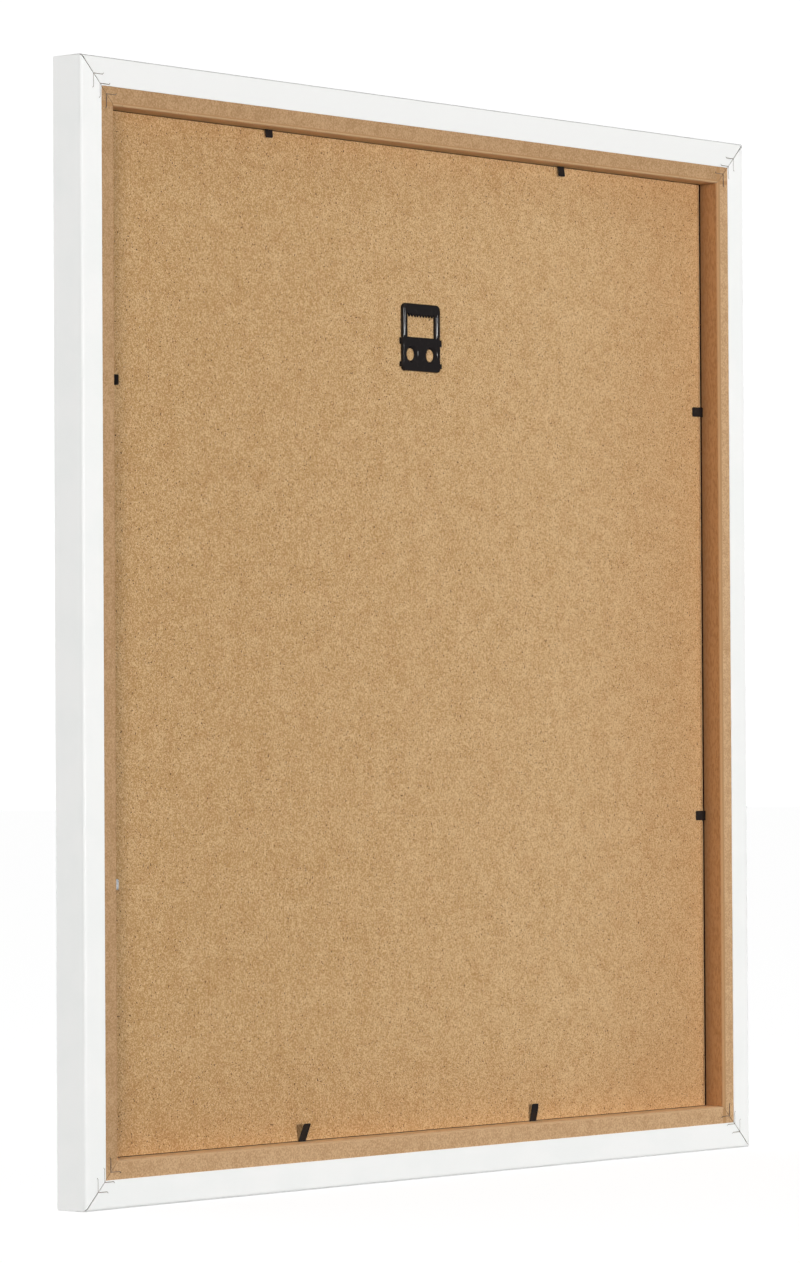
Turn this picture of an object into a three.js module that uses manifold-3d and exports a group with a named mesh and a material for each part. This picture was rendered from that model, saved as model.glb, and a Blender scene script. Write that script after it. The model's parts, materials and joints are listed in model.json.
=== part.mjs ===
// A wall-hung picture frame of foil-wrapped MDF moulding, at its real size in millimetres, +Z up.
// The picture side faces -Y and the wall side +Y. The origin is the notch of the hanger that bears on the
// wall nail. Left and right are as seen from the picture side.
import * as THREE from 'three';
import { mergeVertices } from 'three/addons/utils/BufferGeometryUtils.js';
import Module from 'manifold-3d';

// Overall size, and the height of the frame's top edge above the nail
const FRAME_W = 566;
const FRAME_H = 594;
const FRAME_D = 21;
const TOP_ABOVE_NAIL = 117;

// Moulding: width of its back up to the rebate wall, front lip and edge roundings
const RAIL_W = 25;
const LIP_W = 6;
const LIP_T = 3.2;
const EDGE_R = 1.6;
const EASED_EDGE_R = 1.4;

// Mitres: the gap of a closed joint, and how much wider the joint stands open at the outer back corner
const MITRE_GAP = 0.08;
const MITRE_OPENING = 0.6;

// Foil wrap: its thickness, the glue line under it and the width of its band on the back
const FOIL_T = 0.35;
const GLUE_T = 0.05;
const BAND_W = 15.2;

// Picture stack behind the lip: thicknesses, the air between sheets and the play to the rebate walls
const PANE_T = 2;
const INSERT_T = 0.6;
const BOARD_T = 2.2;
const STACK_AIR = 0.05;
const PANE_PLAY = 1;
const BOARD_SIDE_PLAY = 1.5;
const BOARD_END_PLAY = 0.4;

// V-shaped corner wedges: place of the first one from the outer sides, spacing, arms with hooked ends
const WEDGE_COUNT = 3;
const WEDGE_FIRST = 9.4;
const WEDGE_STEP = 4.9;
const WEDGE_ARM = 7.5;
const WEDGE_HOOK = 0.7;
const WEDGE_T = 0.3;
const WEDGE_LENGTH = 10;
const WEDGE_SINK = 0.1;

// Framing points: a strip shot into the rebate wall and bent at its face
const POINT_LENGTH = 15;
const POINT_W = 5.6;
const POINT_T = 0.4;
const POINT_TIP_R = 0.8;
const POINT_AIR = 0.3;

// Play round anything driven into the wood
const DRIVEN_PLAY = 0.05;

// Hanger: outline of the stamped sheet, measured from the notches on its centre line
const HANGER_W = 31.6;
const HANGER_TOP = 5.6;
const HANGER_DROP = 32;
const HANGER_T = 0.9;
const HANGER_SHOULDER_R = 3;
const HANGER_FOOT_R = 2.2;

// Hanger: underside of its plate and of its raised loop over the board, the slope between them, the radius of
// the bend into the turned-down rim, and the air under that rim
const PLATE_RISE = 1;
const LOOP_RISE = 1.5;
const SLOPE_DROP = 12.8;
const SLOPE_RUN = 2.4;
const BEND_R = 1.3;
const RIM_AIR = 0.1;

// Hanger: legs of the loop, the window between them, and the teeth along its upper edge
const LEG_W = 3.7;
const WINDOW_TOP = 1.6;
const WINDOW_DROP = 13;
const TOOTH_COUNT = 10;
const TOOTH_H = 2;

// Hanger: dimpled screw holes with a rounded lip, and their distance from the sides
const HOLE_R = 3.4;
const DIMPLE_R = 4.85;
const DIMPLE_LIP = 0.6;
const HOLE_INSET = 7.5;
const HOLE_DROP = 22.7;

// Hanger: ears at both sides whose ends are turned down as prongs into the board
const EAR_REACH = 1.1;
const UPPER_EAR_DROP = 13.7;
const UPPER_EAR_H = 3.7;
const LOWER_EAR_DROP = 27;
const LOWER_EAR_H = 2.8;
const PRONG_DEPTH = 1.6;

// Fineness of round edges, and how far a cutting tool reaches beyond what it cuts
const ARC_STEPS = 6;
const BEND_STEPS = 4;
const ROUND_STEPS = 32;
const OVERCUT = 2;

// The four sides, each named after its rail and the corner where that rail starts. Along is the distance of
// a point from that corner, reach how far it stands out of the wall, and lift its angle off the board in
// degrees.
const SIDES = [
  {
    rail: 'left',
    corner: 'bottom_left',
    points: [
      { place: 'lower', along: 196, reach: 8.6, lift: 0 },
      { place: 'upper', along: 434, reach: 9.4, lift: 0 },
    ],
  },
  {
    rail: 'top',
    corner: 'top_left',
    points: [
      { place: 'left', along: 157.6, reach: 5.7, lift: 12 },
      { place: 'right', along: 408, reach: 4.4, lift: 10 },
    ],
  },
  {
    rail: 'right',
    corner: 'top_right',
    points: [
      { place: 'upper', along: 166, reach: 10.7, lift: 38 },
      { place: 'lower', along: 427.5, reach: 10.9, lift: 18 },
    ],
  },
  {
    rail: 'bottom',
    corner: 'bottom_right',
    points: [
      { place: 'right', along: 181, reach: 10.6, lift: 23 },
      { place: 'left', along: 378.2, reach: 10.1, lift: 12 },
    ],
  },
];

// Planes and widths that the pieces share
const BOARD_Y = -(LOOP_RISE + HANGER_T / 2);
const INSERT_Y = BOARD_Y - BOARD_T - STACK_AIR;
const PANE_Y = INSERT_Y - INSERT_T - STACK_AIR;
const SEAT_Y = PANE_Y - PANE_T - STACK_AIR;
const FRONT_Y = SEAT_Y - LIP_T;
const BACK_Y = FRONT_Y + FRAME_D;
const LOOP_Y = BOARD_Y + LOOP_RISE + HANGER_T;
const PLATE_Y = BOARD_Y + PLATE_RISE + HANGER_T;
const RIM_Y = BOARD_Y + RIM_AIR;
const POINT_Y = BOARD_Y + POINT_AIR + POINT_T / 2;
const SIGHT_X = RAIL_W + LIP_W;
const WINDOW_W = HANGER_W - 2 * LEG_W;
const TOOTH_PITCH = WINDOW_W / TOOTH_COUNT;
const BOTTOM_Z = TOP_ABOVE_NAIL - FRAME_H;
const CENTRE_Z = TOP_ABOVE_NAIL - FRAME_H / 2;

const wasm = await Module();
wasm.setup();

const material = (color, roughness, metalness) =>
  new THREE.MeshStandardMaterial({ color, roughness, metalness });
const WHITE_FOIL = material(0xf3f3f0, 0.4, 0);
const BARE_MDF = material(0xbf9a70, 0.85, 0);
const FIBREBOARD = material(0xc09868, 0.8, 0);
const WEDGE_STEEL = material(0x6d665c, 0.5, 0.8);
const BLACK_STEEL = material(0x1e1d1c, 0.35, 0.6);
const CLEAR_GLASS = material(0xe6efec, 0.05, 0);
const KRAFT_CARD = material(0xbd986b, 0.9, 0);

function toSolid(geometry) {
  const bare = geometry.clone();
  bare.deleteAttribute('normal');
  bare.deleteAttribute('uv');
  const merged = mergeVertices(bare);
  const vertProperties = merged.attributes.position.array;
  const triVerts = new Uint32Array(merged.index.array);
  return new wasm.Manifold(new wasm.Mesh({ numProp: 3, vertProperties, triVerts }));
}

function toGeometry(solid) {
  const { vertProperties, triVerts } = solid.getMesh();
  const geometry = new THREE.BufferGeometry();
  geometry.setAttribute('position', new THREE.BufferAttribute(vertProperties, 3));
  geometry.setIndex(new THREE.BufferAttribute(triVerts, 1));
  return geometry;
}

function piece(name, geometry, finish) {
  const mesh = new THREE.Mesh(geometry, finish);
  mesh.name = name;
  return mesh;
}

function rectangle(width, height, x, z) {
  const right = x + width / 2;
  const left = x - width / 2;
  const top = z + height / 2;
  const bottom = z - height / 2;
  return new THREE.Shape([
    new THREE.Vector2(left, bottom),
    new THREE.Vector2(right, bottom),
    new THREE.Vector2(right, top),
    new THREE.Vector2(left, top),
  ]);
}

// Flat piece with an outline in X and Z. Its wall-side face is at y = back, and its thickness goes from there
// to the front.
function panel(outline, back, thickness) {
  const options = { depth: thickness, bevelEnabled: false, curveSegments: ROUND_STEPS };
  return new THREE.ExtrudeGeometry(outline, options).rotateX(Math.PI / 2).translate(0, back, 0);
}

// Outline of a strip of even thickness that follows a line of points, with mitred bends.
function ribbon(line, thickness) {
  const heading = (i) => line[i + 1].clone().sub(line[i]).normalize();
  const offsets = line.map((point, i) => {
    const before = heading(Math.max(i - 1, 0));
    const after = heading(Math.min(i, line.length - 2));
    const across = new THREE.Vector2(-before.y - after.y, before.x + after.x);
    return across.multiplyScalar(thickness / 2 / (1 + before.dot(after)));
  });
  const oneSide = line.map((point, i) => point.clone().add(offsets[i]));
  const otherSide = line.map((point, i) => point.clone().sub(offsets[i]));
  return new THREE.Shape([...oneSide, ...otherSide.reverse()]);
}

// Section of a rail, in x from the outer side inwards and y. This line runs under the surface of the wrap by
// inset, from the edge of the back band round the outer side, the front and the sight edge to the rebate.
function wrapLine(inset) {
  const radius = EDGE_R - inset;
  const line = new THREE.Path();
  line.moveTo(BAND_W, BACK_Y - inset);
  line.lineTo(EDGE_R, BACK_Y - inset);
  line.absarc(EDGE_R, BACK_Y - EDGE_R, radius, Math.PI / 2, Math.PI);
  line.absarc(EDGE_R, FRONT_Y + EDGE_R, radius, Math.PI, Math.PI * 1.5);
  line.absarc(SIGHT_X - EDGE_R, FRONT_Y + EDGE_R, radius, Math.PI * 1.5, Math.PI * 2);
  line.lineTo(SIGHT_X - inset, SEAT_Y);
  return line.getPoints(ARC_STEPS);
}

function foilSection() {
  return new THREE.Shape([...wrapLine(0), ...wrapLine(FOIL_T).reverse()]);
}

function coreSection() {
  const wrap = FOIL_T + GLUE_T;
  const bareBack = BACK_Y - wrap;
  const rebate = new THREE.Path();
  rebate.moveTo(RAIL_W, SEAT_Y);
  rebate.lineTo(RAIL_W, bareBack - EASED_EDGE_R);
  rebate.absarc(RAIL_W - EASED_EDGE_R, bareBack - EASED_EDGE_R, EASED_EDGE_R, 0, Math.PI / 2);
  return new THREE.Shape([...wrapLine(wrap), ...rebate.getPoints(ARC_STEPS)]);
}

// Bar along z from one outer corner of the frame to the next, with both ends cut to the mitre. The joint is
// closed at the front and at the sight edge, and opens towards the outer back corner.
function mitredBar(section, length) {
  const bar = new THREE.ExtrudeGeometry(section, { depth: length, bevelEnabled: false });
  const corners = bar.attributes.position;
  for (let i = 0; i < corners.count; i += 1) {
    const x = corners.getX(i);
    const opening = (1 - x / SIGHT_X) * ((corners.getY(i) - FRONT_Y) / FRAME_D);
    const cut = x + (MITRE_GAP + MITRE_OPENING * opening) / Math.SQRT2;
    corners.setZ(i, corners.getZ(i) > length / 2 ? length - cut : cut);
  }
  return bar;
}

// Wedge across the mitre of a corner at the origin, with its apex towards the corner and an arm along each
// rail.
function wedge(apex, play) {
  const arm = WEDGE_ARM + play;
  const hook = WEDGE_HOOK + play;
  const line = [
    new THREE.Vector2(apex + arm, apex - hook),
    new THREE.Vector2(apex + arm - hook, apex),
    new THREE.Vector2(apex, apex),
    new THREE.Vector2(apex, apex + arm - hook),
    new THREE.Vector2(apex - hook, apex + arm),
  ];
  return ribbon(line, WEDGE_T + 2 * play);
}

const wedgeApexes = Array.from({ length: WEDGE_COUNT }, (_, i) => WEDGE_FIRST + i * WEDGE_STEP);

// Slits for the wedges at both ends of a rail, open to the back.
function wedgeSlits(length) {
  const depth = WEDGE_SINK + WEDGE_LENGTH + 2 * DRIVEN_PLAY;
  return wedgeApexes.flatMap((apex) => {
    const slit = panel(wedge(apex, DRIVEN_PLAY), BACK_Y + DRIVEN_PLAY, depth);
    return [slit, slit.clone().rotateY(Math.PI / 2).translate(0, 0, length)];
  });
}

function pointSlot({ along, reach }) {
  const depth = POINT_LENGTH - reach + 2 * DRIVEN_PLAY;
  const slot = new THREE.BoxGeometry(depth, POINT_T + 2 * DRIVEN_PLAY, POINT_W + 2 * DRIVEN_PLAY);
  return slot.translate(RAIL_W + DRIVEN_PLAY - depth / 2, POINT_Y, along);
}

const cutAll = (geometry, tools) =>
  toGeometry(tools.reduce((body, tool) => body.subtract(toSolid(tool)), toSolid(geometry)));

// Strip with a square root at the bend, x = 0, and two rounded corners at the tip.
function bladeOutline(length) {
  const half = POINT_W / 2;
  const blade = new THREE.Shape();
  blade.moveTo(0, -half);
  blade.lineTo(length - POINT_TIP_R, -half);
  blade.absarc(length - POINT_TIP_R, POINT_TIP_R - half, POINT_TIP_R, -Math.PI / 2, 0);
  blade.absarc(length - POINT_TIP_R, half - POINT_TIP_R, POINT_TIP_R, 0, Math.PI / 2);
  blade.lineTo(0, half);
  return blade;
}

// A framing point is one bent strip: its tang stays in the rail and its blade turns at the rebate wall.
function framingPoint(rail, { place, along, reach, lift }) {
  const name = `point_${rail}_${place}`;
  const tangLength = POINT_LENGTH - reach;
  const tang = piece(`${name}_tang`, new THREE.BoxGeometry(tangLength, POINT_T, POINT_W), BLACK_STEEL);
  tang.position.set(RAIL_W - tangLength / 2, POINT_Y, along);
  const bend = POINT_AIR + POINT_T / 2;
  const blade = panel(bladeOutline(reach - bend), POINT_T / 2, POINT_T);
  const hinge = new THREE.Group();
  hinge.position.set(RAIL_W + bend, POINT_Y, along);
  hinge.rotation.z = THREE.MathUtils.degToRad(lift);
  hinge.add(piece(`${name}_blade`, blade, BLACK_STEEL));
  return [tang, hinge];
}

// One rail with its wrap, its framing points and the wedges of the corner where it starts.
function buildSide({ rail, corner, points }, length) {
  const group = new THREE.Group();
  const slits = wedgeSlits(length);
  const core = cutAll(mitredBar(coreSection(), length), [...slits, ...points.map(pointSlot)]);
  const foil = cutAll(mitredBar(foilSection(), length), slits);
  group.add(piece(`rail_${rail}`, core, BARE_MDF), piece(`foil_${rail}`, foil, WHITE_FOIL));
  wedgeApexes.forEach((apex, i) => {
    const geometry = panel(wedge(apex, 0), BACK_Y - WEDGE_SINK, WEDGE_LENGTH);
    group.add(piece(`wedge_${corner}_${i + 1}`, geometry, WEDGE_STEEL));
  });
  group.add(...points.flatMap((point) => framingPoint(rail, point)));
  return group;
}

// Sheet that fills the rebate up to the play at its sides and ends. Its wall-side face is at y = back.
function sheet(sidePlay, endPlay, back, thickness) {
  const width = FRAME_W - 2 * (RAIL_W + sidePlay);
  const height = FRAME_H - 2 * (RAIL_W + endPlay);
  return panel(rectangle(width, height, 0, CENTRE_Z), back, thickness);
}

const ears = [
  { drop: UPPER_EAR_DROP, height: UPPER_EAR_H },
  { drop: LOWER_EAR_DROP, height: LOWER_EAR_H },
];

// Sections in X and Z of the four ears, which start at the bend of the rim.
function earSections() {
  const width = BEND_R + EAR_REACH;
  const x = HANGER_W / 2 + EAR_REACH - width / 2;
  return ears.flatMap(({ drop, height }) =>
    [x, -x].map((centre) => rectangle(width, height, centre, -drop - height / 2)));
}

// Sections of the four prongs, grown by play for the slots that they are pressed into.
function prongs(play) {
  const x = HANGER_W / 2 + EAR_REACH - HANGER_T / 2;
  return ears.flatMap(({ drop, height }) =>
    [x, -x].map((centre) =>
      rectangle(HANGER_T + 2 * play, height + 2 * play, centre, -drop - height / 2)));
}

// Back board with slots for the hanger's prongs.
function backBoard() {
  const slots = prongs(DRIVEN_PLAY).map((section) =>
    panel(section, BOARD_Y + DRIVEN_PLAY, BOARD_T + 2 * DRIVEN_PLAY));
  return cutAll(sheet(BOARD_SIDE_PLAY, BOARD_END_PLAY, BOARD_Y, BOARD_T), slots);
}

// Outline of the hanger without its ears, with the window in its loop.
function hangerOutline() {
  const shoulder = HANGER_W / 2 - HANGER_SHOULDER_R;
  const shoulderZ = HANGER_TOP - HANGER_SHOULDER_R;
  const foot = HANGER_W / 2 - HANGER_FOOT_R;
  const footZ = HANGER_FOOT_R - HANGER_DROP;
  const outline = new THREE.Shape();
  outline.absarc(shoulder, shoulderZ, HANGER_SHOULDER_R, 0, Math.PI / 2);
  outline.absarc(-shoulder, shoulderZ, HANGER_SHOULDER_R, Math.PI / 2, Math.PI);
  outline.absarc(-foot, footZ, HANGER_FOOT_R, Math.PI, Math.PI * 1.5);
  outline.absarc(foot, footZ, HANGER_FOOT_R, Math.PI * 1.5, Math.PI * 2);
  const height = WINDOW_TOP + WINDOW_DROP;
  outline.holes = [rectangle(WINDOW_W, height, 0, WINDOW_TOP - height / 2)];
  return outline;
}

// Block with the hanger's outline, shrunk by inset and rounded like the bends along its edges. Its wall-side
// face is at y = top, and it goes down past the board.
function pillow(top, inset) {
  const radius = BEND_R - inset;
  const block = new THREE.ExtrudeGeometry(hangerOutline(), {
    depth: top - BOARD_Y + OVERCUT,
    bevelThickness: radius,
    bevelSize: radius,
    bevelOffset: -radius - inset,
    bevelSegments: BEND_STEPS,
    curveSegments: ARC_STEPS,
  });
  return toSolid(block.rotateX(Math.PI / 2).translate(0, top - radius, 0));
}

// Everything over the slope between plate and loop, sunk by inset.
function overSlope(inset) {
  const low = PLATE_Y - inset;
  const high = LOOP_Y - inset;
  const section = new THREE.Shape([
    new THREE.Vector2(-SLOPE_DROP, low),
    new THREE.Vector2(SLOPE_RUN - SLOPE_DROP, high),
    new THREE.Vector2(SLOPE_RUN - SLOPE_DROP, high + OVERCUT),
    new THREE.Vector2(-HANGER_DROP - OVERCUT, high + OVERCUT),
    new THREE.Vector2(-HANGER_DROP - OVERCUT, low),
  ]);
  const width = HANGER_W + 2 * OVERCUT;
  const block = new THREE.ExtrudeGeometry(section, { depth: width, bevelEnabled: false });
  return toSolid(block.rotateY(-Math.PI / 2).translate(width / 2, 0, 0));
}

// The pressed form as a filled body, shrunk by inset: a plate, and a loop that rises from it over a slope.
function pressing(inset) {
  const plate = pillow(PLATE_Y - inset, inset);
  const loop = pillow(LOOP_Y - inset, inset);
  return plate.add(loop.subtract(overSlope(inset)));
}

// Outline of the strip along the upper edge of the window, with the teeth that the nail catches between.
function toothStrip() {
  const half = WINDOW_W / 2 + BEND_R;
  const top = WINDOW_TOP + BEND_R;
  const strip = new THREE.Shape();
  strip.moveTo(half, 0);
  strip.lineTo(half, top);
  strip.lineTo(-half, top);
  strip.lineTo(-half, 0);
  for (let tooth = 0; tooth < TOOTH_COUNT; tooth += 1) {
    const root = tooth * TOOTH_PITCH - WINDOW_W / 2;
    strip.lineTo(root, 0);
    strip.lineTo(root + TOOTH_PITCH / 2, -TOOTH_H);
  }
  strip.lineTo(WINDOW_W / 2, 0);
  return strip;
}

// Wall of a dimple, which sinks over a rounded lip from the plate to the board round a screw hole.
function dimple(x) {
  const brink = new THREE.Vector2(DIMPLE_R, PLATE_Y);
  const foot = new THREE.Vector2(HOLE_R, RIM_Y + HANGER_T / 2);
  const start = new THREE.Vector2(DIMPLE_R + DIMPLE_LIP, PLATE_Y);
  const end = brink.clone().add(foot.clone().sub(brink).setLength(DIMPLE_LIP));
  const section = [
    new THREE.Vector2(HOLE_R, RIM_Y),
    new THREE.Vector2(HOLE_R + HANGER_T, RIM_Y),
    new THREE.Vector2(DIMPLE_R + HANGER_T, PLATE_Y - HANGER_T),
    new THREE.Vector2(DIMPLE_R + HANGER_T, PLATE_Y),
    ...new THREE.QuadraticBezierCurve(start, brink, end).getPoints(BEND_STEPS),
    foot,
    new THREE.Vector2(HOLE_R, RIM_Y),
  ];
  return new THREE.LatheGeometry(section, ROUND_STEPS).translate(x, 0, -HOLE_DROP);
}

// Punch that opens the plate for a dimple.
function punch(x) {
  const radius = DIMPLE_R + DIMPLE_LIP;
  const tool = new THREE.CylinderGeometry(radius, radius, 2 * OVERCUT, ROUND_STEPS);
  return tool.translate(x, PLATE_Y, -HOLE_DROP);
}

// The pressed sheet is hollow under its plate and loop. Its rim is cut level over the board and taken away
// behind the teeth and at the ears, and the teeth, ears, prongs and dimples are formed on it.
function hanger() {
  const height = HANGER_TOP + HANGER_DROP;
  const deep = LOOP_RISE + 2 * (BEND_R + OVERCUT);
  const underRim = rectangle(HANGER_W + OVERCUT, height + OVERCUT, 0, HANGER_TOP - height / 2);
  const behindTeeth = rectangle(WINDOW_W, 2 * BEND_R, 0, WINDOW_TOP);
  const hole = HANGER_W / 2 - HOLE_INSET;
  const holes = [hole, -hole];
  const cuts = [
    panel(underRim, RIM_Y, deep),
    panel(behindTeeth, LOOP_Y - HANGER_T, deep),
    ...earSections().map((section) => panel(section, PLATE_Y - HANGER_T, deep)),
    ...holes.map(punch),
  ];
  const prongLength = PLATE_RISE + HANGER_T + PRONG_DEPTH;
  const forms = [
    panel(toothStrip(), LOOP_Y, HANGER_T),
    ...earSections().map((section) => panel(section, PLATE_Y, HANGER_T)),
    ...prongs(0).map((section) => panel(section, PLATE_Y, prongLength)),
    ...holes.map(dimple),
  ];
  const hollow = pressing(0).subtract(pressing(HANGER_T));
  const cut = cuts.reduce((body, tool) => body.subtract(toSolid(tool)), hollow);
  return toGeometry(forms.reduce((body, form) => body.add(toSolid(form)), cut));
}

const frame = new THREE.Group();

const cornerSpots = [
  [-FRAME_W / 2, BOTTOM_Z],
  [-FRAME_W / 2, TOP_ABOVE_NAIL],
  [FRAME_W / 2, TOP_ABOVE_NAIL],
  [FRAME_W / 2, BOTTOM_Z],
];
SIDES.forEach((description, quarter) => {
  const group = buildSide(description, quarter % 2 ? FRAME_W : FRAME_H);
  const [x, z] = cornerSpots[quarter];
  group.position.set(x, 0, z);
  group.rotation.y = (quarter * Math.PI) / 2;
  frame.add(group);
});

frame.add(
  piece('glazing_pane', sheet(PANE_PLAY, PANE_PLAY, PANE_Y, PANE_T), CLEAR_GLASS),
  piece('insert_card', sheet(PANE_PLAY, PANE_PLAY, INSERT_Y, INSERT_T), KRAFT_CARD),
  piece('back_board', backBoard(), FIBREBOARD),
  piece('hanger', hanger(), BLACK_STEEL),
);

export default frame;
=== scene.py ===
"""Looks of a wall-hung picture frame of foil-wrapped MDF, shown from its back.

Lengths are metres. The picture side faces -Y, the wall side +Y and +Z is up. Left and right are as seen from the
picture side.
"""
import json
import logging
import math
from dataclasses import dataclass, field
from enum import Enum

import bmesh
import bpy
import numpy as np
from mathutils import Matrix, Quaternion, Vector


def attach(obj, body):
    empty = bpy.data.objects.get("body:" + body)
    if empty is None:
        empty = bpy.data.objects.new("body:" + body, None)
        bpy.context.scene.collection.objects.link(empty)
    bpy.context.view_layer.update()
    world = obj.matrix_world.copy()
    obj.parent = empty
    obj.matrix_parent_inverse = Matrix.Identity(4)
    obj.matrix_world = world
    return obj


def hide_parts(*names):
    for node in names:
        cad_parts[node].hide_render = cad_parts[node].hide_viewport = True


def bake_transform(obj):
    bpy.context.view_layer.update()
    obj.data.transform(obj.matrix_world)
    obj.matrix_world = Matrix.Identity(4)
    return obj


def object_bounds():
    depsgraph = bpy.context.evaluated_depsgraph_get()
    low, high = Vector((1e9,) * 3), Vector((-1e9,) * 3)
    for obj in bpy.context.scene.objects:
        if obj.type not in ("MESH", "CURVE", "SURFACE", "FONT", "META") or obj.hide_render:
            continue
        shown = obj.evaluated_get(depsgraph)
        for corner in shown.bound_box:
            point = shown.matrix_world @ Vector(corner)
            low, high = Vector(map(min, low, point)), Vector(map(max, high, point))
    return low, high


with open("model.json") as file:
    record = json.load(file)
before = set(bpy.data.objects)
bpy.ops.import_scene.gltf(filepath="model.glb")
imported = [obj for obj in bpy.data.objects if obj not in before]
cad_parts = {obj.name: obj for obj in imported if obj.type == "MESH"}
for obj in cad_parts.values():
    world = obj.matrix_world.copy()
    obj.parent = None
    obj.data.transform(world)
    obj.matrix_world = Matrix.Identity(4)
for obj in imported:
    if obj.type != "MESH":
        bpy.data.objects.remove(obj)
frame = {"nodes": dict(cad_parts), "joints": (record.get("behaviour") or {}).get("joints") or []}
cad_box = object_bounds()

Array = np.ndarray
Colour = tuple[float, float, float, float]
Value = float | Colour | tuple[float, float, float] | bpy.types.NodeSocket

LOG = logging.getLogger("picture_frame")
MM = 0.001
BACKWARDS = np.array([0.0, 1.0, 0.0])
SAME_PLACE = 6
ONE_PLANE = math.radians(0.5)


class Slot(Enum):
    """The record's material slots."""

    FOIL = "white_foil"
    MDF = "bare_mdf"
    BOARD = "fibreboard"
    CARD = "kraft_card"
    STEEL = "black_steel"
    WEDGE = "wedge_steel"
    GLASS = "clear_glass"


class Side(Enum):
    """The four rails of the frame."""

    LEFT = "left"
    TOP = "top"
    RIGHT = "right"
    BOTTOM = "bottom"


def display(red: float, green: float, blue: float) -> Colour:
    """Turn a colour as a screen shows it into the shader's linear colour.

    Args:
        red: Red from 0 to 255.
        green: Green from 0 to 255.
        blue: Blue from 0 to 255.

    Returns:
        The linear colour with full opacity.
    """
    share = np.array([red, green, blue]) / 255.0
    low = share / 12.92
    high = ((share + 0.055) / 1.055) ** 2.4
    return (*np.where(share <= 0.04045, low, high).tolist(), 1.0)


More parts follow.
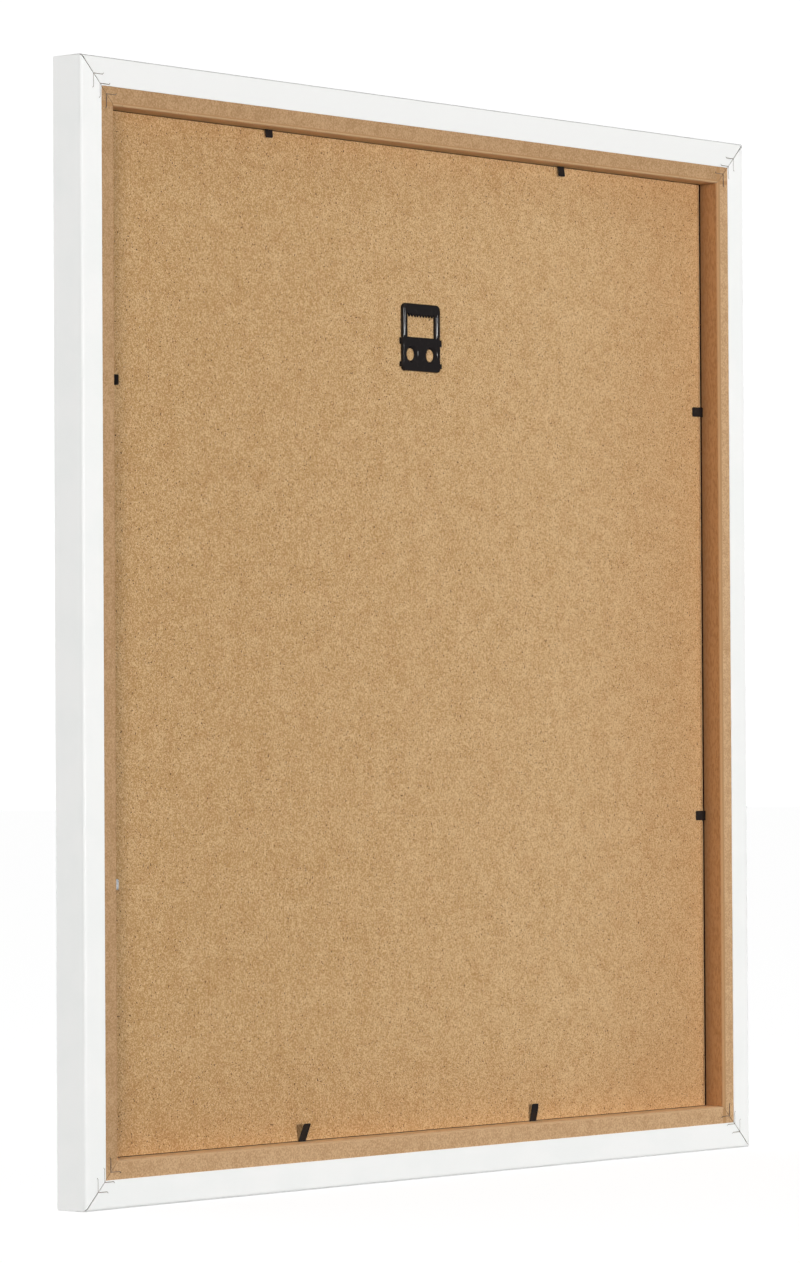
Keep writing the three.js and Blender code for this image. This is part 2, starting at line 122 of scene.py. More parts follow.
class Graph:
    """The shader nodes of one material, with short ways to add and join them."""

    def __init__(self, name: str) -> None:
        """Start a material that holds a shader, an output and Object coordinates.

        Args:
            name: The material's name.
        """
        self.material = bpy.data.materials.new(name)
        self.material.use_nodes = True
        self.tree = self.material.node_tree
        self.tree.nodes.clear()
        self.shader = self.add("ShaderNodeBsdfPrincipled")
        output = self.add("ShaderNodeOutputMaterial")
        self.tree.links.new(self.shader.outputs["BSDF"], output.inputs["Surface"])
        self.place = self.add("ShaderNodeTexCoord").outputs["Object"]

    def add(self, kind: str, **settings: str | int | bool) -> bpy.types.Node:
        """Add a node and set its options.

        Args:
            kind: The node's type.
            settings: Options of the node by name.

        Returns:
            The new node.
        """
        node = self.tree.nodes.new(kind)
        for key, value in settings.items():
            setattr(node, key, value)
        return node

    def feed(self, socket: bpy.types.NodeSocket, value: Value) -> None:
        """Join another socket to this one, or set its own value.

        Args:
            socket: The input to feed.
            value: A socket to join, or a number, vector or colour.
        """
        if isinstance(value, bpy.types.NodeSocket):
            self.tree.links.new(value, socket)
        else:
            socket.default_value = value

    def dress(self, **inputs: Value) -> None:
        """Feed the shader's inputs, named with underscores for spaces."""
        for key, value in inputs.items():
            self.feed(self.shader.inputs[key.replace("_", " ").title().replace("Ior", "IOR")], value)

    def stretched(self, size: tuple[float, float, float], turn: float = 0.0) -> bpy.types.NodeSocket:
        """Coordinates counted in pattern sizes.

        Args:
            size: The pattern's size along X, Y and Z in metres.
            turn: Turn of the pattern about Y in degrees.

        Returns:
            The scaled coordinates.
        """
        mapping = self.add("ShaderNodeMapping")
        self.feed(mapping.inputs["Vector"], self.place)
        mapping.inputs["Rotation"].default_value = (0.0, math.radians(turn), 0.0)
        mapping.inputs["Scale"].default_value = tuple(1.0 / length for length in size)
        return mapping.outputs["Vector"]

    def noise(self, size: float | tuple[float, float, float], detail: float = 2.0, turn: float = 0.0,
              rough: float = 0.5) -> bpy.types.NodeSocket:
        """Soft random pattern.

        Args:
            size: Size of its blobs in metres, one for all axes or one for each.
            detail: Number of finer layers in it.
            turn: Turn of the pattern about Y in degrees.
            rough: Share of each finer layer.

        Returns:
            The pattern, about 0.5 on average.
        """
        texture = self.add("ShaderNodeTexNoise")
        sizes = size if isinstance(size, tuple) else (size, size, size)
        self.feed(texture.inputs["Vector"], self.stretched(sizes, turn))
        texture.inputs["Scale"].default_value = 1.0
        texture.inputs["Detail"].default_value = detail
        texture.inputs["Roughness"].default_value = rough
        return texture.outputs["Fac"]

    def spots(self, size: float) -> bpy.types.Node:
        """Random cells of the given size in metres."""
        texture = self.add("ShaderNodeTexVoronoi")
        self.feed(texture.inputs["Vector"], self.stretched((size, size, size)))
        texture.inputs["Scale"].default_value = 1.0
        return texture

    def band(self, value: Value, low: float, high: float, start: float = 0.0,
             end: float = 1.0) -> bpy.types.NodeSocket:
        """Spread a value from low to high smoothly onto start to end.

        Args:
            value: The value to spread.
            low: Where the result is start.
            high: Where the result is end.
            start: Result at low.
            end: Result at high.

        Returns:
            The spread value.
        """
        ranged = self.add("ShaderNodeMapRange", interpolation_type="SMOOTHSTEP")
        limits = {"From Min": low, "From Max": high, "To Min": start, "To Max": end}
        for key, number in {"Value": value, **limits}.items():
            self.feed(ranged.inputs[key], number)
        return ranged.outputs["Result"]

    def maths(self, operation: str, first: Value, second: Value) -> bpy.types.NodeSocket:
        """One step of arithmetic on two values."""
        node = self.add("ShaderNodeMath", operation=operation)
        self.feed(node.inputs[0], first)
        self.feed(node.inputs[1], second)
        return node.outputs[0]

    def mix(self, share: Value, first: Value, second: Value) -> bpy.types.NodeSocket:
        """Blend two colours, the second by the given share."""
        node = self.add("ShaderNodeMix", data_type="RGBA")
        self.feed(node.inputs[0], share)
        self.feed(node.inputs[6], first)
        self.feed(node.inputs[7], second)
        return node.outputs[2]

    def emboss(self, height: bpy.types.NodeSocket, depth: float, strength: float = 1.0) -> None:
        """Turn a pattern into relief of the given depth in metres."""
        bump = self.add("ShaderNodeBump")
        self.feed(bump.inputs["Height"], height)
        bump.inputs["Distance"].default_value = depth
        bump.inputs["Strength"].default_value = strength
        self.feed(self.shader.inputs["Normal"], bump.outputs["Normal"])

    def along(self, axis: str) -> bpy.types.NodeSocket:
        """Place along one axis in metres."""
        parts = self.add("ShaderNodeSeparateXYZ")
        self.feed(parts.inputs[0], self.place)
        return parts.outputs[axis]

    def facing(self, axis: str) -> bpy.types.NodeSocket:
        """How much a surface faces along an axis either way, from 0 to 1."""
        parts = self.add("ShaderNodeSeparateXYZ")
        self.feed(parts.inputs[0], self.add("ShaderNodeNewGeometry").outputs["Normal"])
        return self.maths("ABSOLUTE", parts.outputs[axis], 0.0)


@dataclass(frozen=True)
class FoilFinish:
    """White decor foil, faint skin texture and a few specks; painted shade greys the top rail and darkens its
    bends.

    Within the mitres of the top rail the height less the distance from the middle is more than top_mitre.
    """

    white: Colour = display(250, 250, 248)
    shade: Colour = display(247, 248, 246)
    # painted shade: the top rail's foil is a touch greyer
    top_rail_shade: Colour = display(245, 245, 243)
    # painted shade on the top rail's bent edges
    bend_shade: Colour = display(218, 218, 216)
    speck: Colour = display(196, 194, 188)
    top_mitre: float = -166 * MM
    mitre_blur: float = 0.4 * MM
    cloud_size: float = 30 * MM
    speck_apart: float = 9 * MM
    skin_size: float = 0.7 * MM
    skin_depth: float = 0.02 * MM

    def material(self) -> bpy.types.Material:
        """Cloudy white with rare specks, and a fine relief."""
        graph = Graph(Slot.FOIL.value)
        cloud = graph.band(graph.noise(self.cloud_size, 3), 0.35, 0.65)
        cells = graph.spots(self.speck_apart)
        dot = graph.band(cells.outputs["Distance"], 0.02, 0.045, 1.0, 0.0)
        rare = graph.band(cells.outputs["Color"], 0.72, 0.8, 0.0, 0.55)
        past = graph.maths("SUBTRACT", graph.along("Z"), graph.maths("ABSOLUTE", graph.along("X"), 0.0))
        top = graph.band(past, self.top_mitre - self.mitre_blur, self.top_mitre + self.mitre_blur)
        turned = graph.facing("Y")
        bent = graph.maths("MULTIPLY", graph.band(turned, 0.15, 0.3), graph.band(turned, 0.75, 0.97, 1.0, 0.0))
        # painted shade: greyer foil over the whole top rail
        plain = graph.mix(top, graph.mix(cloud, self.white, self.shade), self.top_rail_shade)
        # painted shade darkens the top rail's rounded edges between its flat faces
        colour = graph.mix(graph.maths("MULTIPLY", top, bent), plain, self.bend_shade)
        skin = graph.noise(self.skin_size, 2)
        graph.dress(base_color=graph.mix(graph.maths("MULTIPLY", dot, rare), colour, self.speck),
                    roughness=graph.band(skin, 0.3, 0.7, 0.34, 0.46))
        graph.shader.inputs["Specular IOR Level"].default_value = 0.4
        graph.emboss(skin, self.skin_depth, 0.3)
        return graph.material


@dataclass(frozen=True)
class MdfFinish:
    """Bare MDF: pale and pinkish where it was faced, redder and streaked where the upright rebates were milled.

    Painted shade turns the walls nearly black in the clearance beside the board. The upright walls' redder, darker
    tone is partly the milled face and partly painted shade, and painted shade darkens them towards the board.
    Painted light makes the level walls paler near the board and their flat pale, palest on the bottom wall. A
    strip of painted shade darkens the inner edges of the left and top rails. Glue stains the sawn mitres, most
    under the foil. The faces of the rails right of and above the frame's diagonal are redder and darker.
    """

    faced: Colour = display(208, 172, 132)
    faced_dark: Colour = display(182, 144, 103)
    redder: Colour = display(194, 158, 119)
    redder_dark: Colour = display(168, 131, 91)
    # painted shade: a darker strip inside the inner edges of the left and top rails
    inner_edge_shade: Colour = display(177, 136, 94)
    # the upright walls are redder and darker than the faced MDF, partly from milling and partly as painted shade
    upright: Colour = display(190, 140, 92)
    # painted shade: the upright walls darker next to the board
    upright_painted_shade: Colour = display(160, 115, 75)
    streak: Colour = display(140, 92, 52)
    # painted light: the top wall's flat, pale towards its back edge
    soffit_painted_light: Colour = display(235, 194, 150)
    level: Colour = display(204, 167, 127)
    # painted light: level walls paler next to the board
    level_painted_light: Colour = display(230, 193, 150)
    # painted light: the bottom wall's flat, palest of all
    sill_painted_light: Colour = display(255, 216, 168)
    eased: Colour = display(188, 145, 102)
    # painted shade: nearly black for the walls in the clearance beside the board
    gap_shade: Colour = display(44, 24, 10)
    glue: Colour = display(108, 92, 78)
    glue_bare: Colour = display(172, 138, 104)
    fleck: Colour = display(140, 100, 64)
    board_level: float = -1.95 * MM
    wrapped: float = 267.8 * MM
    diagonal: float = -180 * MM
    slant: float = 594 / 566
    opening: float = 258 * MM
    head: float = 92 * MM
    # widths of the painted shade strips on the inner edges
    side_shade: float = 3 * MM
    head_shade: float = 2.2 * MM
    shade_fade: float = 0.8 * MM
    wall_depth: float = 9 * MM
    sill_below: float = -300 * MM
    soffit_above: float = -200 * MM
    ripple_size: float = 45 * MM
    ripple_height: float = 1.6 * MM
    streak_size: tuple[float, float, float] = (0.9 * MM, 0.9 * MM, 3 * MM)
    fleck_size: tuple[float, float, float] = (0.7 * MM, 0.7 * MM, 1.1 * MM)

    def shade_strip(self, graph: Graph, place: bpy.types.NodeSocket, edge: float, width: float) -> bpy.types.NodeSocket:
        """Painted shade on a strip along an edge.

        Args:
            graph: The material's nodes.
            place: Place across the edge.
            edge: Where the strip starts.
            width: How wide it is.

        Returns:
            The share of painted shade, 1 on the strip and 0 elsewhere.
        """
        return graph.maths("MULTIPLY", graph.band(place, edge - 1 * MM, edge),
                           graph.band(place, edge + width - self.shade_fade, edge + width, 1.0, 0.0))

    def material(self) -> bpy.types.Material:
        """Fine mottling on each kind of face, with scattered fibre bundles."""
        graph = Graph(Slot.MDF.value)
        mottle = graph.maths("ADD", graph.maths("MULTIPLY", graph.noise(0.9 * MM, 3), 0.75),
                             graph.maths("MULTIPLY", graph.noise(7 * MM, 2), 0.25))
        tone = graph.band(mottle, 0.36, 0.64)
        # the faces right of and above the frame's diagonal take the redder, darker tones
        across = graph.maths("ADD", graph.along("Z"), graph.maths("MULTIPLY", graph.along("X"), self.slant))
        second = graph.band(across, self.diagonal - 0.5 * MM, self.diagonal + 0.5 * MM)
        depth = graph.along("Y")
        # painted shade: the walls turn nearly black below the board's level, along a wavy line
        ripple = graph.maths("MULTIPLY", graph.noise(self.ripple_size, 1), self.ripple_height)
        buried = graph.maths("MULTIPLY", graph.band(graph.facing("Z"), 0.1, 0.3), ripple)
        shown = graph.band(graph.maths("ADD", depth, buried), self.board_level - 0.4 * MM,
                           self.board_level + 0.1 * MM)
        # rise runs up the walls from the board and carries their painted shade and painted light
        rise = graph.band(depth, self.board_level, self.board_level + self.wall_depth)
        streaks = graph.band(graph.noise(self.streak_size, 3), 0.4, 0.65, 0.0, 0.4)
        # painted shade: upright walls darker towards the board, over real milling streaks
        milled = graph.mix(streaks, graph.mix(rise, self.upright_painted_shade, self.upright), self.streak)
        upright = graph.mix(graph.band(graph.facing("Y"), 0.2, 0.5), milled, self.eased)
        # painted light on the level walls: paler near the board, pale over the top wall's flat, palest on the
        # bottom wall's flat
        low = graph.band(graph.along("Z"), self.sill_below, self.soffit_above, 1.0, 0.0)
        flush = graph.mix(low, graph.mix(rise, self.level_painted_light, self.soffit_painted_light), self.sill_painted_light)
        level = graph.mix(graph.band(graph.facing("Z"), 0.85, 0.97),
                          graph.mix(rise, self.level_painted_light, self.level), flush)
        wall = graph.mix(graph.band(graph.facing("Z"), 0.1, 0.3), upright, level)
        mitred = graph.maths("MULTIPLY", graph.facing("X"), graph.facing("Z"))
        flat = graph.maths("MAXIMUM", graph.band(graph.facing("Y"), 0.93, 0.985), graph.band(mitred, 0.05, 0.12))
        face = graph.mix(second, graph.mix(tone, self.faced_dark, self.faced),
                         graph.mix(tone, self.redder_dark, self.redder))
        # painted shade on strips inside the inner edges of the left and top rails
        aside = graph.maths("MULTIPLY", graph.along("X"), -1.0)
        edge_shade_share = graph.maths("MAXIMUM", self.shade_strip(graph, aside, self.opening, self.side_shade),
                           self.shade_strip(graph, graph.along("Z"), self.head, self.head_shade))
        bare = graph.mix(flat, graph.mix(shown, self.gap_shade, wall), graph.mix(edge_shade_share, face, self.inner_edge_shade))
        sawn = graph.band(mitred, 0.3, 0.45)
        flecks = graph.band(graph.noise(self.fleck_size, 1, 20), 0.66, 0.74, 0.0, 0.6)
        under = graph.band(graph.maths("ABSOLUTE", graph.along("X"), 0.0), self.wrapped - 0.3 * MM, self.wrapped)
        stain = graph.mix(under, self.glue_bare, self.glue)
        graph.dress(base_color=graph.mix(sawn, graph.mix(flecks, bare, self.fleck), stain),
                    roughness=graph.band(mottle, 0.3, 0.7, 0.72, 0.88))
        graph.shader.inputs["Specular IOR Level"].default_value = 0.15
        graph.emboss(graph.noise(0.5 * MM, 3), 0.06 * MM, 0.6)
        return graph.material


@dataclass(frozen=True)
class BoardFinish:
    """Thin fibreboard: tan and cloudy, with dark bark flecks, brown strands and pale fibres."""

    tan: Colour = display(215, 181, 137)
    brown: Colour = display(174, 134, 82)
    fleck: Colour = display(78, 50, 26)
    fibre: Colour = display(228, 196, 150)
    strand: Colour = display(150, 104, 58)
    # painted highlight along the board's side edges
    edge_highlight: Colour = display(232, 198, 152)
    # darker, warmer tones for random patches and for painted shade by three edges
    stain_and_shade: Colour = display(202, 162, 116)
    stain_and_shade_dark: Colour = display(164, 119, 70)
    half_width: float = 256.5 * MM
    low: float = -447 * MM
    high: float = 87 * MM
    # widths of the painted shade along the left, bottom and top edges
    left_shade_margin: float = 140 * MM
    low_shade_margin: float = 60 * MM
    high_shade_margin: float = 40 * MM
    grain_size: float = 0.75 * MM
    cloud_size: float = 14 * MM
    patch_size: float = 10 * MM
    fibre_size: tuple[float, float, float] = (0.5 * MM, 1 * MM, 2.6 * MM)
    fleck_size: float = 1.1 * MM

    def material(self) -> bpy.types.Material:
        """Clouds of two tones with flecks and short fibres, darker and warmer in patches.

        Painted shade makes it darker and warmer by three edges, painted light paler towards the left edge, and a
        painted highlight lines its side edges.
        """
        graph = Graph(Slot.BOARD.value)
        fine = graph.noise(self.grain_size, 3, rough=0.65)
        # painted light: the board's tone is paler towards its left edge
        painted_light_drift = graph.band(graph.along("X"), -self.half_width, self.half_width, 0.05, 0.005)
        cloud = graph.maths("MULTIPLY", graph.noise(self.cloud_size, 3), 0.1)
        tone = graph.maths("ADD", graph.maths("MULTIPLY", fine, 0.84), graph.maths("ADD", cloud, painted_light_drift))
        grain = graph.band(tone, 0.38, 0.62)
        # painted shade: darker and warmer by the left, bottom and top edges; the patches are random
        side = graph.band(graph.along("X"), -self.half_width, -self.half_width + self.left_shade_margin, 0.78, 0.0)
        ends = graph.maths("ADD", graph.band(graph.along("Z"), self.low, self.low + self.low_shade_margin, 0.45, 0.0),
                           graph.band(graph.along("Z"), self.high - self.high_shade_margin, self.high, 0.0, 0.3))
        patches = graph.band(graph.noise(self.patch_size, 3), 0.45, 0.7, 0.0, 0.3)
        stain_and_shade_share = graph.maths("ADD", patches, graph.maths("ADD", side, ends))
        ground = graph.mix(stain_and_shade_share, graph.mix(grain, self.brown, self.tan),
                           graph.mix(grain, self.stain_and_shade_dark, self.stain_and_shade))
        fibres = graph.band(graph.noise(self.fibre_size, 1, 35), 0.64, 0.74, 0.0, 0.55)
        strands = graph.band(graph.noise(self.fibre_size, 1, -50), 0.64, 0.74, 0.0, 0.7)
        pale = graph.mix(fibres, graph.mix(strands, ground, self.strand), self.fibre)
        # painted highlight: a paler strip along the board's side edges
        edge_highlight_share = graph.band(graph.maths("ABSOLUTE", graph.along("X"), 0.0), self.half_width - 0.9 * MM,
                         self.half_width - 0.3 * MM, 0.0, 0.75)
        flecks = graph.band(graph.noise(self.fleck_size, 1), 0.69, 0.72)
        graph.dress(base_color=graph.mix(flecks, graph.mix(edge_highlight_share, pale, self.edge_highlight), self.fleck),
                    roughness=graph.band(fine, 0.3, 0.7, 0.62, 0.8))
        graph.shader.inputs["Specular IOR Level"].default_value = 0.2
        graph.emboss(fine, 0.08 * MM, 0.5)
        return graph.material


@dataclass(frozen=True)
class CardFinish:
    """Plain kraft card with short fibres."""

    card: Colour = display(193, 156, 112)
    dark: Colour = display(172, 134, 92)

    def material(self) -> bpy.types.Material:
        """Brown card whose fibres lie in one direction."""
        graph = Graph(Slot.CARD.value)
        fibres = graph.noise((0.6 * MM, 1 * MM, 3 * MM), 3, 12)
        graph.dress(base_color=graph.mix(graph.band(fibres, 0.35, 0.65), self.dark, self.card),
                    roughness=graph.band(fibres, 0.3, 0.7, 0.78, 0.92))
        graph.emboss(fibres, 0.05 * MM, 0.4)
        return graph.material


@dataclass(frozen=True)
class SteelFinish:
    """Blackened steel with a smooth gloss, worn in spots."""

    black: Colour = display(36, 33, 33)
    worn: Colour = display(45, 42, 40)

    def material(self) -> bpy.types.Material:
        """Near-black with a faint worn cloud and an uneven gloss."""
        graph = Graph(Slot.STEEL.value)
        cloud = graph.noise(3 * MM, 2)
        skin = graph.noise(0.6 * MM, 2)
        graph.dress(base_color=graph.mix(graph.band(cloud, 0.55, 0.75, 0.0, 0.6), self.black, self.worn),
                    roughness=graph.band(cloud, 0.3, 0.7, 0.09, 0.14))
        graph.shader.inputs["Specular IOR Level"].default_value = 0.17
        graph.emboss(skin, 0.001 * MM, 0.1)
        return graph.material


@dataclass(frozen=True)
class WedgeFinish:
    """Dull grey steel of the corner wedges."""

    grey: Colour = display(134, 114, 96)
    dark: Colour = display(104, 86, 70)

    def material(self) -> bpy.types.Material:
        """Streaked grey metal."""
        graph = Graph(Slot.WEDGE.value)
        streak = graph.noise((0.5 * MM, 3 * MM, 0.5 * MM), 2)
        graph.dress(base_color=graph.mix(graph.band(streak, 0.35, 0.65), self.dark, self.grey),
                    roughness=graph.band(streak, 0.3, 0.7, 0.42, 0.6))
        graph.shader.inputs["Metallic"].default_value = 0.1
        return graph.material


@dataclass(frozen=True)
class GlassFinish:
    """Clear float glass with faint smears."""

    tint: Colour = display(250, 253, 251)
    smear: Colour = display(244, 249, 246)

    def material(self) -> bpy.types.Material:
        """Clear glass whose gloss is broken by wiping marks."""
        graph = Graph(Slot.GLASS.value)
        wipe = graph.noise((60 * MM, 60 * MM, 12 * MM), 3, 30)
        graph.dress(base_color=graph.mix(graph.band(wipe, 0.4, 0.7), self.tint, self.smear),
                    roughness=graph.band(wipe, 0.45, 0.75, 0.01, 0.05))
        graph.shader.inputs["Transmission Weight"].default_value = 1.0
        graph.shader.inputs["IOR"].default_value = 1.5
        return graph.material


@dataclass
class Palette:
    """Every finish of the frame, made once and shared."""

    made: dict[Slot, bpy.types.Material] = field(default_factory=dict)

    def __post_init__(self) -> None:
        """Make the materials."""
        self.made = {
            Slot.FOIL: FoilFinish().material(),
            Slot.MDF: MdfFinish().material(),
            Slot.BOARD: BoardFinish().material(),
            Slot.CARD: CardFinish().material(),
            Slot.STEEL: SteelFinish().material(),
            Slot.WEDGE: WedgeFinish().material(),
            Slot.GLASS: GlassFinish().material(),
        }

    def paint(self, item: bpy.types.Object, slot: Slot) -> None:
        """Give an object the finish of a slot.

        Args:
            item: The object.
            slot: The slot whose finish it gets.
        """
        item.data.materials.clear()
        item.data.materials.append(self.made[slot])


def merged_copy(node: str, name: str) -> bpy.types.Object:
    """Copy a CAD node with its corners shared and its flat faces whole, so that modifiers can work on it.

    Corners that agree to SAME_PLACE decimals of a metre become one, and triangles within ONE_PLANE of each other
    are joined to one face.

    Args:
        node: The CAD node.
        name: Name of the copy.

    Returns:
        The copy.
    """
    source = frame["nodes"][node].data
    order = np.empty(len(source.loops), np.int32)
    source.loops.foreach_get("vertex_index", order)
    points, shared = np.unique(np.round(corners(node), SAME_PLACE), axis=0, return_inverse=True)
    faces = shared.reshape(-1)[order].reshape(-1, 3)
    whole = (faces[:, 0] != faces[:, 1]) & (faces[:, 1] != faces[:, 2]) & (faces[:, 2] != faces[:, 0])
    mesh = bpy.data.meshes.new(name)
    mesh.from_pydata(points.tolist(), [], faces[whole].tolist())
    work = bmesh.new()
    work.from_mesh(mesh)
    bmesh.ops.dissolve_limit(work, angle_limit=ONE_PLANE, verts=work.verts, edges=work.edges)
    work.to_mesh(mesh)
    work.free()
    return linked(name, mesh)


def smooth(value: Array, low: float, high: float) -> Array:
    """Smooth step from 0 at low to 1 at high."""
    share = np.clip((value - low) / (high - low), 0.0, 1.0)
    return share * share * (3.0 - 2.0 * share)


def tube(name: str, rings: Array) -> bpy.types.Mesh:
    """Join rings of points to a closed skin, with a flat face on both ends.

    The faces go round each ring and from ring to ring, so they are a grid that closes on itself.

    Args:
        name: Name of the mesh.
        rings: The points, by ring, place on the ring and axis.

    Returns:
        The mesh, with its faces outward when the rings turn left seen against their path.
    """
    count, size = rings.shape[:2]
    index = np.arange(count * size).reshape(count, size)
    after = np.roll(index, -1, axis=1)
    skin = np.stack([index[:-1], after[:-1], after[1:], index[1:]], axis=-1).reshape(-1, 4)
    caps = [index[0, ::-1].tolist(), index[-1].tolist()]
    mesh = bpy.data.meshes.new(name)
    mesh.from_pydata(rings.reshape(-1, 3).tolist(), [], skin.tolist() + caps)
    return mesh


def corners(node: str) -> Array:
    """Corners of a CAD node, one per row."""
    mesh = frame["nodes"][node].data
    flat = np.empty(len(mesh.vertices) * 3, np.float32)
    mesh.vertices.foreach_get("co", flat)
    return flat.reshape(-1, 3).astype(float)


def linked(name: str, mesh: bpy.types.Mesh) -> bpy.types.Object:
    """Put a mesh into the scene as an object at the origin."""
    item = bpy.data.objects.new(name, mesh)
    bpy.context.scene.collection.objects.link(item)
    return item


def soften(item: bpy.types.Object, width: float, steps: int, sharpest: float = 30.0) -> None:
    """Round an object's sharp edges and shade its curves smoothly.

    Args:
        item: The object.
        width: Width of the rounding in metres.
        steps: Number of faces across the rounding.
        sharpest: Edges that turn by more than this many degrees are rounded.
    """
    item.data.shade_smooth()
    bevel = item.modifiers.new("eased edges", "BEVEL")
    bevel.width = width
    bevel.segments = steps
    bevel.limit_method = "ANGLE"
    bevel.angle_limit = math.radians(sharpest)
    bevel.harden_normals = False
    normals = item.modifiers.new("flat faces stay flat", "WEIGHTED_NORMAL")
    normals.weight = 100
    normals.keep_sharp = True


def settle(item: bpy.types.Object, palette: Palette, slot: Slot, body: str, *nodes: str) -> bpy.types.Object:
    """Dress a new piece, let it ride on its body and stand for its CAD nodes.

    Args:
        item: The piece.
        palette: The finishes.
        slot: Its finish.
        body: The CAD body it moves with.
        nodes: The CAD nodes it stands for.

    Returns:
        The piece.
    """
    palette.paint(item, slot)
    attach(item, body)
    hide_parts(*nodes)
    LOG.info("%s stands for %s", item.name, ", ".join(nodes))
    return item


@dataclass
class Moulding:
    """Four mitred rails of MDF with their foil wraps and the wedges across the corners."""

    palette: Palette
    foil_edge: float = 0.06 * MM
    core_edge: float = 0.05 * MM

    def build(self) -> None:
        """Make the rails and wraps, and dress the wedges."""
        for side in Side:
            foil = merged_copy(f"foil_{side.value}", f"{side.value}_foil_wrap")
            soften(foil, self.foil_edge, steps=2)
            settle(foil, self.palette, Slot.FOIL, "frame", f"foil_{side.value}")
            core = merged_copy(f"rail_{side.value}", f"{side.value}_rail_core")
            soften(core, self.core_edge, steps=1)
            settle(core, self.palette, Slot.MDF, "frame", f"rail_{side.value}")
        for name, node in frame["nodes"].items():
            if name.startswith("wedge_"):
                self.palette.paint(node, Slot.WEDGE)
                LOG.info("%s dressed", name)


@dataclass
class PictureStack:
    """Glazing, insert card and back board."""

    palette: Palette
    board_edge: float = 0.12 * MM

    def build(self) -> None:
        """Dress the pane and the card, and round the board's edges."""
        for name, slot in (("glazing_pane", Slot.GLASS), ("insert_card", Slot.CARD)):
            self.palette.paint(frame["nodes"][name], slot)
            LOG.info("%s dressed", name)
        board = merged_copy("back_board", "fibreboard_back")
        soften(board, self.board_edge, steps=3)
        settle(board, self.palette, Slot.BOARD, "frame", "back_board")


@dataclass
class Hanger:
    """Stamped toothed hanger on the back board."""

    palette: Palette
    edge: float = 0.18 * MM
    fold: float = 38.0

    def build(self) -> None:
        """Round the stamped edges, which turn by more than the pressed folds do, and dress the sheet."""
        plate = merged_copy("hanger", "toothed_hanger")
        soften(plate, self.edge, steps=3, sharpest=self.fold)
        settle(plate, self.palette, Slot.STEEL, "frame", "hanger")


@dataclass(frozen=True)
class Bend:
    """Where one framing point bends, and how long it is on both sides of the bend.

    Attributes:
        body: The CAD body of its blade.
        pivot: A point on the bend line.
        across: Direction of the bend line.
        out: Direction from the rebate wall into the recess.
        lift: Angle of the blade off the board in radians.
        tang: Length inside the wall, from the bend.
        blade: Length outside it, from the bend.
    """

    body: str
    pivot: Array
    across: Array
    out: Array
    lift: float
    tang: float
    blade: float

    @classmethod
    def of(cls, joint: dict) -> "Bend":
        """Read a bend from its joint and from the two CAD nodes that it joins.

        Args:
            joint: The joint as the record has it.

        Returns:
            The bend.
        """
        pivot, across = np.array(joint["pos_m"]), np.array(joint["axis"], float)
        out = np.cross(BACKWARDS, across)
        lift = -math.radians(joint["range_deg"][0])
        ahead = math.cos(lift) * out + math.sin(lift) * BACKWARDS
        reach = (corners(f"{joint['child']}_blade") - pivot) @ ahead
        depth = (corners(f"{joint['child']}_tang") - pivot) @ out
        return cls(joint["child"], pivot, across, out, lift, float(-depth.min()), float(reach.max()))


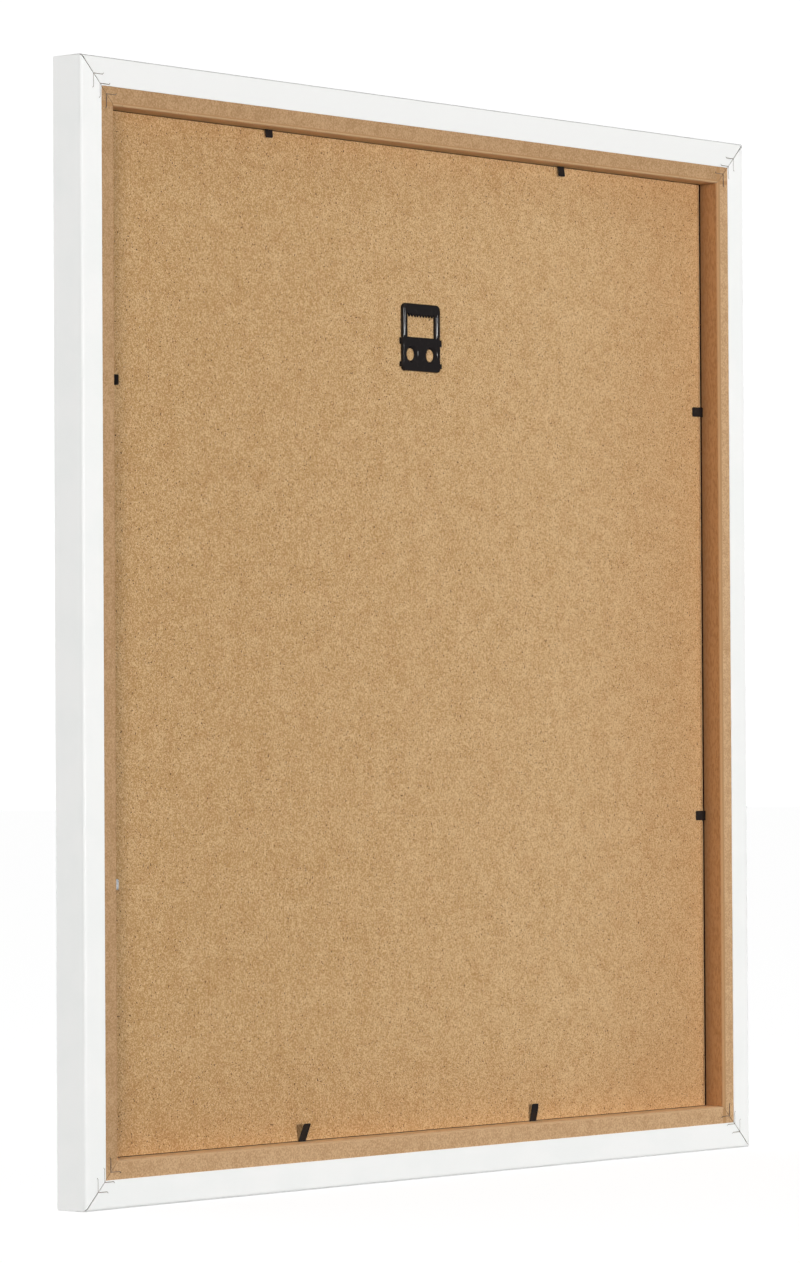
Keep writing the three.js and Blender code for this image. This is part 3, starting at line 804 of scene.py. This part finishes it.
@dataclass
class FramingPoints:
    """Soft steel strips shot into the rebate and bent over the board."""

    palette: Palette
    width: float = 5.6 * MM
    thick: float = 0.4 * MM
    corner: float = 0.08 * MM
    tip: float = 0.8 * MM
    bend: float = 0.45 * MM
    low: float = 20.0
    droop: float = 6.6
    droop_start: float = 2.3 * MM
    droop_length: float = 0.3 * MM
    tang_rings: int = 4
    bend_rings: int = 17
    blade_rings: int = 12
    tip_rings: int = 36
    round_points: int = 16

    def build(self) -> None:
        """Make a strip for every bend."""
        for joint in frame["joints"]:
            self.strip(Bend.of(joint))

    def strip(self, bend: Bend) -> None:
        """Carry the strip's section along its bent line.

        The heading along the strip rises by a smooth step from zero to the lift within the bend, and a low strip
        droops by a second smooth step before its tip. The line is the running sum of its heading. At each ring the
        section is a rectangle with rounded corners, and its half width falls like a circle in the tip's radius.

        Args:
            bend: The bend of this point.
        """
        tail = np.linspace(-bend.tang, -2 * self.bend, self.tang_rings)
        curve = np.linspace(-2 * self.bend, 2 * self.bend, self.bend_rings)[1:]
        straight = np.linspace(2 * self.bend, bend.blade - self.tip, self.blade_rings)[1:-1]
        nose = bend.blade - self.tip * np.cos(np.linspace(0.0, math.pi / 2, self.tip_rings))
        along = np.concatenate([tail, curve, straight, nose])
        droop = math.radians(self.droop) if bend.lift < math.radians(self.low) else 0.0
        turn = bend.lift * smooth(along, -self.bend, self.bend)
        flat_end = bend.blade - self.droop_start
        turn -= droop * smooth(along, flat_end - self.droop_length, flat_end)
        step = np.diff(along, prepend=-bend.tang)
        mean = turn - np.diff(turn, prepend=0.0) / 2
        ahead = np.cumsum(step * np.cos(mean)) - bend.tang
        rise = np.cumsum(step * np.sin(mean))
        inside = np.clip((along - bend.blade + self.tip) / self.tip, 0.0, 1.0)
        half = self.width / 2 - self.tip * (1.0 - np.sqrt(1.0 - inside ** 2))
        angle = -(np.arange(self.round_points) + 0.5) * math.tau / self.round_points
        side, top = np.sign(np.cos(angle)), np.sign(np.sin(angle))
        flank = side * (half[:, None] - self.corner) + self.corner * np.cos(angle)
        level = np.broadcast_to(top * (self.thick / 2 - self.corner) + self.corner * np.sin(angle), flank.shape)
        place = (bend.pivot
                 + (ahead[:, None] - level * np.sin(turn)[:, None])[..., None] * bend.out
                 + (rise[:, None] + level * np.cos(turn)[:, None])[..., None] * BACKWARDS
                 + flank[..., None] * bend.across)
        item = linked(f"{bend.body}_strip", tube(f"{bend.body}_strip", place))
        self.palette.paint(item, Slot.STEEL)
        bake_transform(item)
        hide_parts(f"{bend.body}_tang", f"{bend.body}_blade")
        LOG.info("%s stands for its tang and blade", item.name)


@dataclass(frozen=True)
class Softbox:
    """A lamp's name and place, its width and height in metres, and its power in watts."""

    name: str
    place: tuple[float, float, float]
    width: float
    height: float
    power: float


@dataclass
class Studio:
    """Camera, pale floor and dome, and soft light."""

    stand: tuple[float, float, float] = (2.266264, 1.916242, -0.243346)
    aim: tuple[float, float, float] = (0.01894, -0.0011, -0.17628)
    roll: float = -0.3077
    lens: float = 152.83
    sensor: float = 36.0
    nearest: float = 0.05
    farthest: float = 500.0
    floor_half: float = 60.0
    floor_glow: float = 0.93
    below: float = 0.2 * MM
    dome_radius: float = 20.0
    dome_glow: float = 1.05
    dome_rows: int = 13
    dome_columns: int = 49
    pale: Colour = display(108, 108, 108)
    bright_side: tuple[float, float, float] = (0.0, -1.0, -0.1)
    bright: float = 1.05
    dim: float = 0.06
    dim_from: float = -0.15
    bright_from: float = 0.6
    lamps: tuple[Softbox, ...] = (
        Softbox("front softbox", (-1.2, 4.0, 0.0), 0.9, 0.9, 117.0),
        Softbox("side softbox", (10.2, 6.2, -0.1), 3.4, 3.4, 1120.0),
        Softbox("overhead softbox", (0.4, 1.2, 2.8), 1.2, 1.2, 11.0),
    )

    def build(self) -> None:
        """Set up the camera, the floor and dome, the world and the lamps."""
        bpy.context.scene.view_settings.view_transform = "Standard"
        self.camera()
        self.floor()
        self.dome()
        self.world()
        for softbox in self.lamps:
            self.lamp(softbox)

    def camera(self) -> None:
        """Stand the camera where the picture was taken from, looking at the aim and rolled a little."""
        lens = bpy.data.cameras.new("camera")
        lens.lens = self.lens
        lens.sensor_width = self.sensor
        lens.clip_start = self.nearest
        lens.clip_end = self.farthest
        item = bpy.data.objects.new("camera", lens)
        sight = Vector(self.aim) - Vector(self.stand)
        level = sight.to_track_quat("-Z", "Y")
        item.rotation_mode = "QUATERNION"
        item.location = self.stand
        item.rotation_quaternion = level @ Quaternion((0.0, 0.0, 1.0), math.radians(self.roll))
        bpy.context.scene.collection.objects.link(item)
        bpy.context.scene.camera = item

    def floor(self) -> None:
        """Lay a large pale floor under the frame's bottom edge."""
        ends = np.array([-self.floor_half, self.floor_half])
        along, across = np.meshgrid(ends, ends)
        self.lay("floor", np.stack([along, across, np.zeros_like(along)], axis=-1), self.floor_glow)

    def dome(self) -> None:
        """Stand a white dome on the floor, seen by the camera alone so that the world still lights the frame.

        It is a quarter circle carried round the upright through the origin: both run over evenly spaced angles.
        """
        rise, turn = np.meshgrid(np.linspace(0.0, math.pi / 2, self.dome_rows),
                                 np.linspace(0.0, math.tau, self.dome_columns))
        reach = self.dome_radius * np.cos(rise)
        points = np.stack([reach * np.cos(turn), reach * np.sin(turn), self.dome_radius * np.sin(rise)], axis=-1)
        item = self.lay("dome", points, self.dome_glow)
        item.visible_transmission = False
        item.visible_shadow = False

    def lay(self, name: str, points: Array, glow: float) -> bpy.types.Object:
        """Join a grid of points to a pale sheet that is seen but sheds no light on the frame.

        Args:
            name: The sheet's name.
            points: The points over the floor, by row, column and axis.
            glow: Strength of the sheet's own light.

        Returns:
            The sheet.
        """
        lifted = points.reshape(-1, 3) + (0.0, 0.0, cad_box[0][2] - self.below)
        index = np.arange(len(lifted)).reshape(points.shape[:2])
        faces = np.stack([index[:-1, :-1], index[:-1, 1:], index[1:, 1:], index[1:, :-1]], axis=-1).reshape(-1, 4)
        mesh = bpy.data.meshes.new(name)
        mesh.from_pydata(lifted.tolist(), [], faces.tolist())
        item = linked(name, mesh)
        graph = Graph(f"pale {name}")
        graph.dress(base_color=self.pale, roughness=0.9)
        graph.shader.inputs["Specular IOR Level"].default_value = 0.0
        graph.shader.inputs["Emission Color"].default_value = (1.0, 1.0, 1.0, 1.0)
        graph.shader.inputs["Emission Strength"].default_value = glow
        item.data.materials.append(graph.material)
        item.visible_diffuse = False
        item.visible_glossy = False
        return item

    def world(self) -> None:
        """Surround the stage with white that falls to grey on the side away from bright_side."""
        world = bpy.data.worlds.new("studio")
        bpy.context.scene.world = world
        world.use_nodes = True
        tree = world.node_tree
        back = tree.nodes["Background"]
        place = tree.nodes.new("ShaderNodeTexCoord")
        towards = tree.nodes.new("ShaderNodeVectorMath")
        towards.operation = "DOT_PRODUCT"
        towards.inputs[1].default_value = Vector(self.bright_side).normalized()
        spread = tree.nodes.new("ShaderNodeMapRange")
        spread.interpolation_type = "SMOOTHSTEP"
        limits = {"From Min": self.dim_from, "From Max": self.bright_from,
                  "To Min": self.dim, "To Max": self.bright}
        for key, number in limits.items():
            spread.inputs[key].default_value = number
        tree.links.new(place.outputs["Generated"], towards.inputs[0])
        tree.links.new(towards.outputs["Value"], spread.inputs["Value"])
        tree.links.new(spread.outputs["Result"], back.inputs["Strength"])
        back.inputs["Color"].default_value = (1.0, 1.0, 1.0, 1.0)

    def lamp(self, softbox: Softbox) -> None:
        """Hang a softbox so that it faces the middle of the frame.

        Args:
            softbox: The lamp.
        """
        light = bpy.data.lights.new(softbox.name, "AREA")
        light.shape = "RECTANGLE"
        light.size = softbox.width
        light.size_y = softbox.height
        light.energy = softbox.power
        item = bpy.data.objects.new(softbox.name, light)
        item.location = softbox.place
        item.rotation_mode = "QUATERNION"
        item.rotation_quaternion = (Vector(self.aim) - Vector(softbox.place)).to_track_quat("-Z", "Y")
        bpy.context.scene.collection.objects.link(item)


def main() -> None:
    """Build and dress the sub-assemblies, then the studio."""
    logging.basicConfig(level=logging.INFO)
    palette = Palette()
    Moulding(palette).build()
    PictureStack(palette).build()
    Hanger(palette).build()
    FramingPoints(palette).build()
    Studio().build()


if __name__ == "__main__":
    main()
